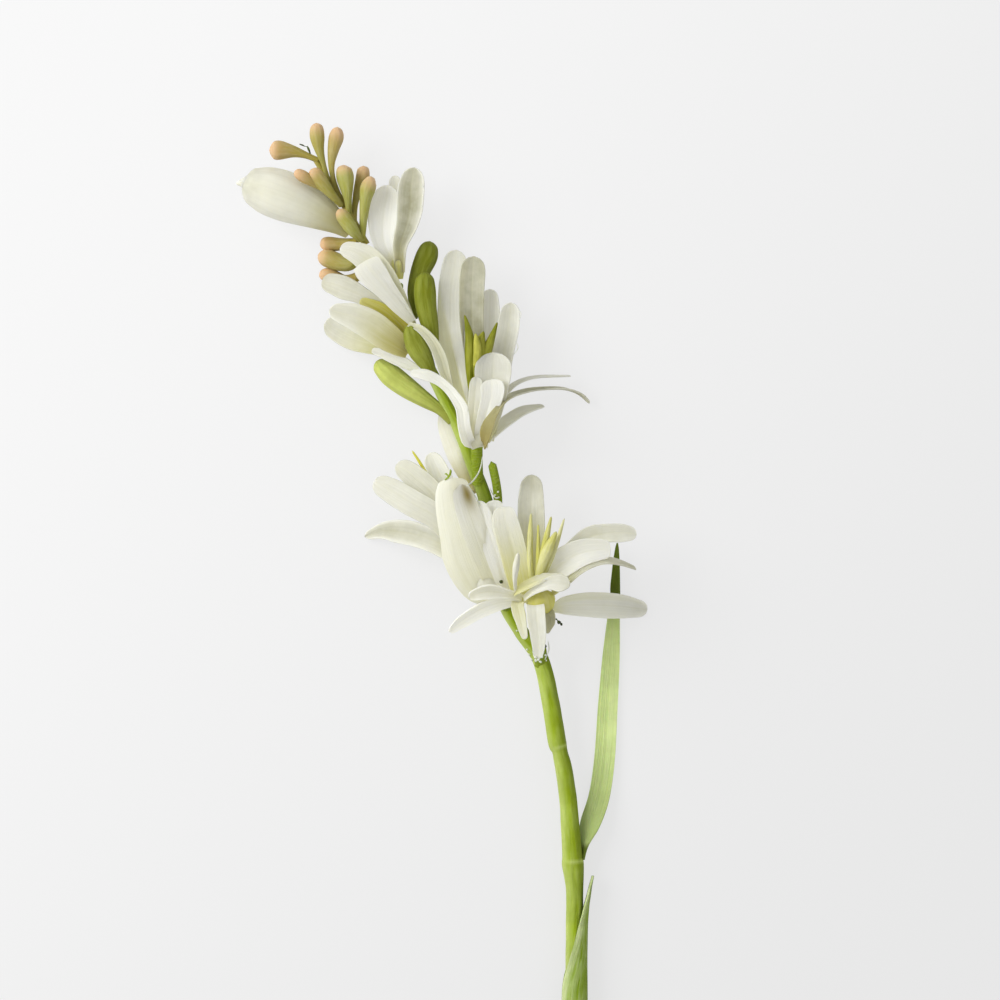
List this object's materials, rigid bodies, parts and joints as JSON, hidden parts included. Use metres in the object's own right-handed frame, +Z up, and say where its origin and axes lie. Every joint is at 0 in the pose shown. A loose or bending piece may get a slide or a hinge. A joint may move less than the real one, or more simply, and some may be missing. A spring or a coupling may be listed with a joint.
{
  "type": "tuberose flower",
  "caption": "Cut tuberose flower lying on its side: double white blooms, white and green buds, a tapering tip of small buds, a green stem and long leaves.",
  "frame": {"origin": "on the surface that the flower lies on, under the middle of its outline box", "axes": "+Y from the stem's cut end towards the tip of buds, +Z up from the surface, +X to the right when seen from above with the tip at the top"},
  "size_m": [0.123, 0.3234, 0.0315],
  "materials": {
    "petal": "matt",
    "stem": "satin",
    "leaf": "satin",
    "green_bud": "satin",
    "tip_bud": "matt",
    "stamen": "matt",
    "stamen_olive": "matt"
  },
  "bodies": {
    "root": {"stem": "stem", "leaf_long": "leaf", "leaf_sheath": "stem", "bloom_lower_right": "petal", "bloom_lower_left": "petal", "bloom_middle": "petal", "bloom_upper_left": "petal", "bud_white_large": "petal", "bud_white_opening": "petal", "bud_white_behind": "petal", "bud_green_high": "green_bud", "bud_green_long": "green_bud", "bud_green_opening": "green_bud", "bud_green_left": "green_bud", "stamens_lower_right": "stamen", "stamens_middle": "stamen_olive", "tip_spray": "tip_bud"}
  },
  "joints": []
}
